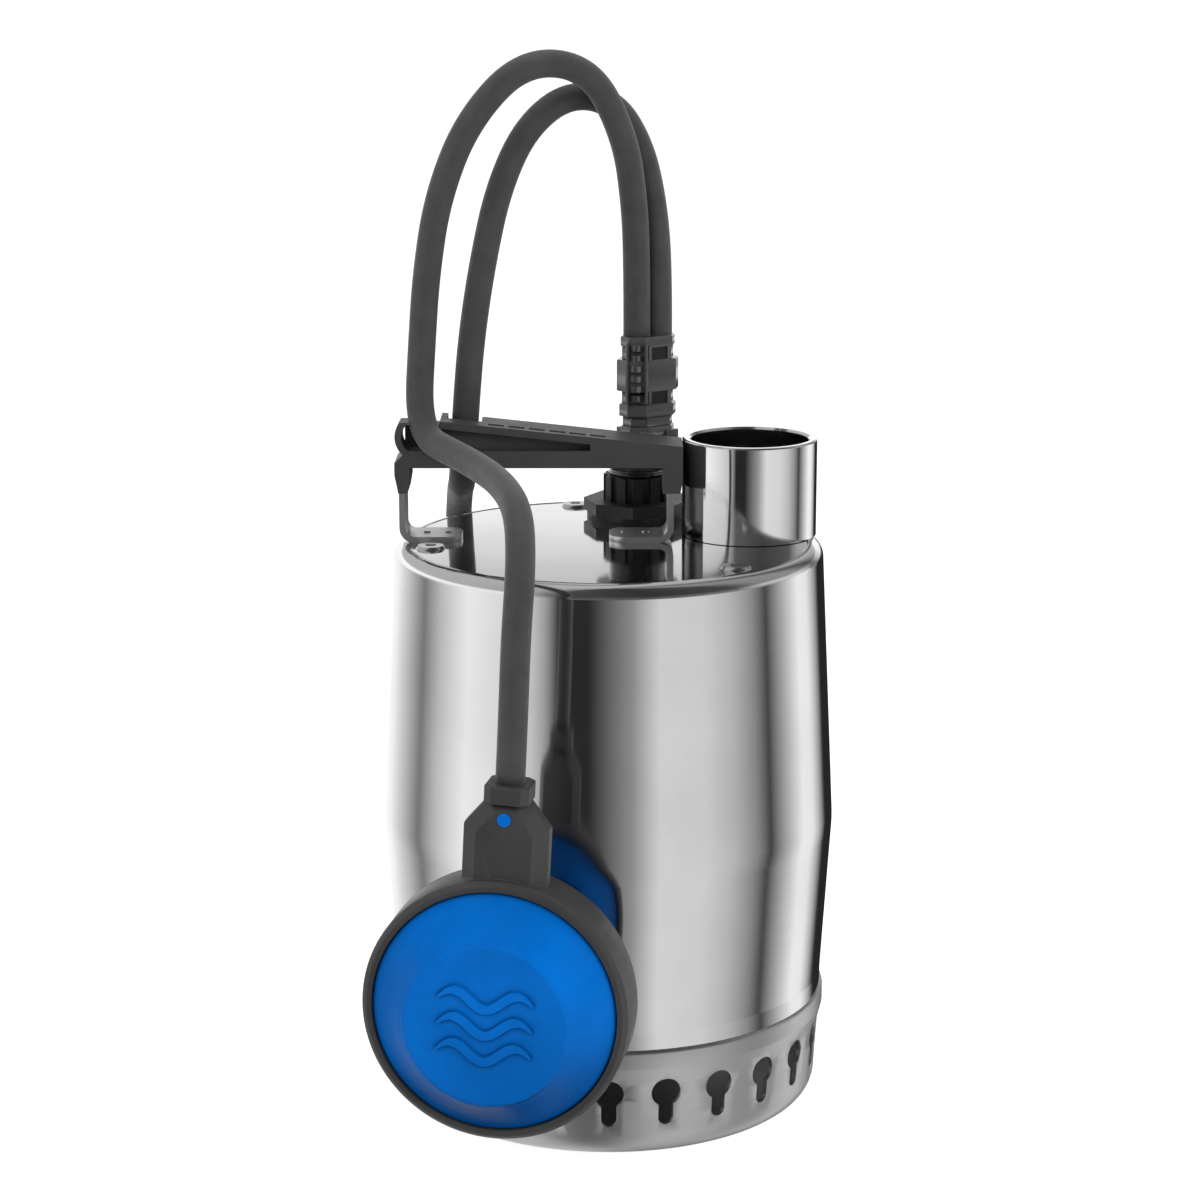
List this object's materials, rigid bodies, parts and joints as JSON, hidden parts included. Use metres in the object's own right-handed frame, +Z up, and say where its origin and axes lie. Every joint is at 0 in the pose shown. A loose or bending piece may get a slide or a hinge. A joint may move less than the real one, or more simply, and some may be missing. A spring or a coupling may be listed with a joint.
{
  "type": "submersible sump pump",
  "caption": "Upright stainless drain pump with a carrying handle, a threaded discharge socket on top and a tilting float switch on its own cable.",
  "frame": {"origin": "centre of the strainer's flat base, where the pump stands and the body axis meets the floor", "axes": "+Z up along the body axis, the carrying handle along X with the discharge socket at +X, the float hangs at -Y"},
  "size_m": [0.1495, 0.355, 0.3454],
  "materials": {
    "sleeve_steel": "drawn stainless sheet, satin brushed",
    "plate_steel": "stainless sheet, nearly mirror",
    "socket_steel": "turned and polished stainless",
    "strainer_steel": "pressed stainless sheet, matt satin",
    "bracket_steel": "stainless strip, satin",
    "screw_steel": "stainless screw",
    "inner_steel": "stainless, machined",
    "laminations": "stacked electrical steel, oiled",
    "winding_wire": "varnished copper winding",
    "impeller_plastic": "glass-filled plastic",
    "tray_plastic": "moulded insulating plastic",
    "capacitor_shell": "moulded plastic",
    "seal_rubber": "nitrile rubber",
    "bearing_carbon": "carbon graphite",
    "handle_plastic": "black moulded plastic, satin",
    "boot_rubber": "dark grey moulded rubber",
    "cable_rubber": "dark grey rubber sheath, matt",
    "float_black": "black moulded plastic",
    "float_blue": "bright blue moulded plastic, satin",
    "ball_steel": "polished ball",
    "switch_plastic": "black switch housing",
    "plug_rubber": "moulded plug body, matt",
    "pin_brass": "nickel-plated brass",
    "tie_plastic": "hook-and-loop strap"
  },
  "bodies": {
    "root": {"outer_sleeve": "sleeve_steel", "top_plate": "plate_steel", "discharge_socket": "socket_steel", "strainer": "strainer_steel", "suction_plate": "inner_steel", "diffuser": "impeller_plastic", "suction_screws": "screw_steel", "motor_can": "inner_steel", "cable_duct": "inner_steel", "motor_spacers": "inner_steel", "top_screws": "screw_steel", "end_shield": "inner_steel", "can_o_ring": "seal_rubber", "shaft_seal": "seal_rubber", "lower_bearing_bush": "bearing_carbon", "upper_bearing_bush": "bearing_carbon", "upper_bearing_holder": "inner_steel", "rotor_liner": "inner_steel", "stator_core": "laminations", "lower_winding": "winding_wire", "upper_winding": "winding_wire", "wiring_tray": "tray_plastic", "run_capacitor": "capacitor_shell", "terminal_block": "tray_plastic", "bracket_left": "bracket_steel", "bracket_right": "bracket_steel", "handle": "handle_plastic", "gland_body": "handle_plastic", "gland_nut": "handle_plastic", "cable_boot": "boot_rubber", "float_cable_loop": "cable_rubber", "float_cable_bend": "cable_rubber", "mains_cable": "cable_rubber", "mains_coil": "cable_rubber", "coil_ties": "tie_plastic", "plug_cable": "cable_rubber", "mains_plug": "plug_rubber", "plug_pins": "pin_brass", "plug_earth_clips": "pin_brass"},
    "rotor": {"shaft": "inner_steel", "rotor_core": "laminations", "thrust_ring": "bearing_carbon", "impeller": "impeller_plastic", "impeller_nut": "screw_steel"},
    "float_arm": {"float_cable_drop": "cable_rubber", "float_collar": "float_black", "float_body": "float_black", "float_shell_front": "float_blue", "float_shell_rear": "float_blue", "float_marker": "float_blue", "ball_guide": "tray_plastic", "micro_switch": "switch_plastic"},
    "ball": {"tilt_ball": "ball_steel"},
    "plunger": {"switch_plunger": "tray_plastic"}
  },
  "joints": [
    {"name": "rotor_spin", "type": "hinge", "parent": "root", "child": "rotor", "pos_m": [0, 0, 0.1], "axis": [0, 0, 1], "continuous": true},
    {"name": "float_swing", "type": "hinge", "parent": "root", "child": "float_arm", "pos_m": [-0.0615, -0.0025, 0.2243], "axis": [-0.9539, -0.3, 0], "range_deg": [0, 60], "deforming": ["float_cable_bend"]},
    {"name": "ball_roll", "type": "slide", "parent": "float_arm", "child": "ball", "axis": [0.0515, -0.0095, 0.9986], "range_m": [0, 0.012]},
    {"name": "plunger_press", "type": "slide", "parent": "float_arm", "child": "plunger", "axis": [0.0515, -0.0095, 0.9986], "range_m": [0, 0.0012], "stiffness_N_per_m": 150}
  ]
}
